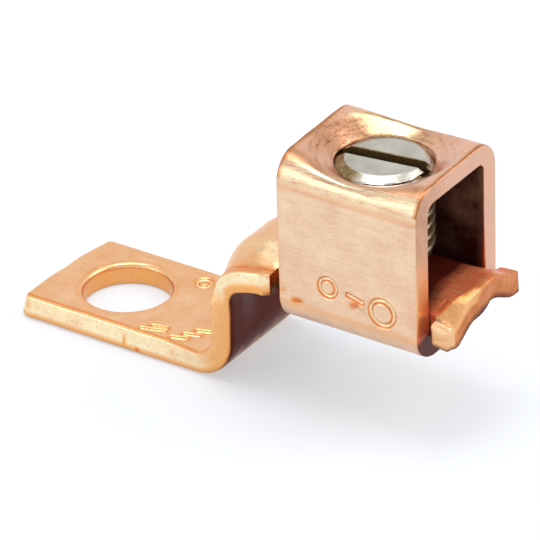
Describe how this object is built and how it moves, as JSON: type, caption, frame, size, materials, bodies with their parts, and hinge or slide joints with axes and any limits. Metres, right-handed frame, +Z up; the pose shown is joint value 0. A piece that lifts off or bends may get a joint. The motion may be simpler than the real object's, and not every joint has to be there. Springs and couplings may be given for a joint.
{
  "type": "offset mechanical lug",
  "caption": "Offset mechanical lug: a crowned, stepped copper tongue with a bolt hole, in a folded copper collar whose slotted steel set screw clamps the wire",
  "frame": {"origin": "centre of the bolt hole on the palm's underside", "axes": "+X along the strip from the bolt hole to the collar, +Y to the left of it, +Z up out of the palm, the way the set screw's slot faces"},
  "size_m": [0.042, 0.0118, 0.0228],
  "materials": {
    "tongue_copper": "bare pressed copper, satin, warm sheen",
    "collar_copper": "bare rolled copper, satin, fine lengthwise scratches",
    "screw_steel": "zinc-plated steel, turned"
  },
  "bodies": {
    "lug": {"tongue": "tongue_copper", "collar": "collar_copper"},
    "screw": {"set_screw": "screw_steel"}
  },
  "joints": [
    {"name": "screw_travel", "type": "slide", "parent": "lug", "child": "screw", "axis": [0, 0, 1], "range_m": [-0.00045, 0.0062]}
  ]
}
